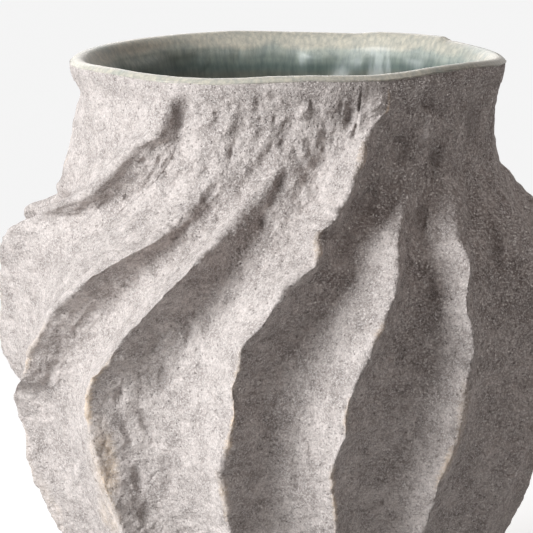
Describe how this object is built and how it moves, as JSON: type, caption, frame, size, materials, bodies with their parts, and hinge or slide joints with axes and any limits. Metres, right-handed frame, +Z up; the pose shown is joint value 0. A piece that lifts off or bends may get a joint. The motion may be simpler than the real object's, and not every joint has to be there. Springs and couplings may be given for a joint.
{
  "type": "urn vase",
  "caption": "Wide-mouthed urn vase in rough unglazed stoneware, with swirling sharp-crested ridges and a crackled grey-green glaze inside and over the lip.",
  "frame": {"origin": "centre of the flat underside that the vase stands on", "axes": "+Z up along the vase's axis through the mouth, -Y towards the side that the picture shows"},
  "size_m": [0.291, 0.2922, 0.315],
  "materials": {
    "stoneware": "matte",
    "celadon_glaze": "gloss"
  },
  "bodies": {
    "root": {"floor_slab": "stoneware", "wall_foot": "stoneware", "wall_belly": "stoneware", "wall_neck": "stoneware", "lip_coil": "stoneware", "ridge_01": "stoneware", "ridge_02": "stoneware", "ridge_03": "stoneware", "ridge_04": "stoneware", "ridge_05": "stoneware", "ridge_06": "stoneware", "ridge_07": "stoneware", "ridge_08": "stoneware", "ridge_09": "stoneware", "ridge_10": "stoneware", "ridge_11": "stoneware", "ridge_12": "stoneware", "ridge_13": "stoneware", "inner_glaze": "celadon_glaze"}
  },
  "joints": []
}
